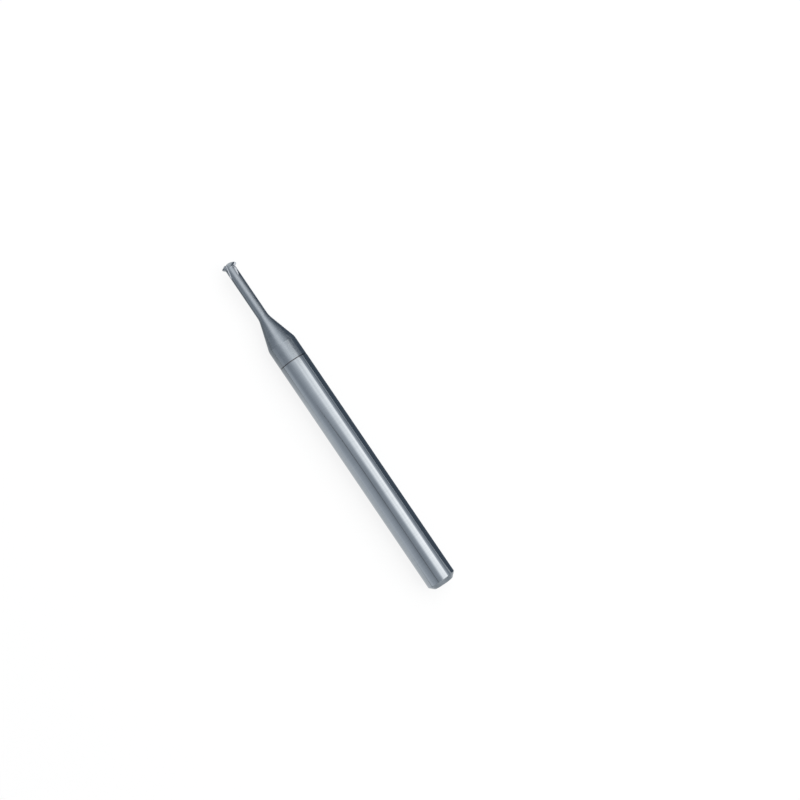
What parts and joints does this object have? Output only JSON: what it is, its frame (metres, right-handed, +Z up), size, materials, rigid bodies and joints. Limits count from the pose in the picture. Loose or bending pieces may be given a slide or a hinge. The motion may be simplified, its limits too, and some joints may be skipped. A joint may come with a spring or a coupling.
{
  "type": "thread mill",
  "caption": "Solid carbide thread mill with a single row of 60 degree teeth on a slender neck, for cutting M3 x 0.5 internal threads, on a plain 4 mm shank.",
  "frame": {"origin": "on the surface that the tool lies on, below the middle of its length", "axes": "+X along the tool's axis, from the cutting end towards the shank end; +Z up from the surface that the shank lies on; the tool's axis is at Z = 2 mm"},
  "size_m": [0.05, 0.004, 0.004],
  "materials": {
    "carbide": "ground and polished tungsten carbide, cool grey, with fine grinding marks"
  },
  "bodies": {
    "root": {"thread_mill": "carbide"}
  },
  "joints": []
}
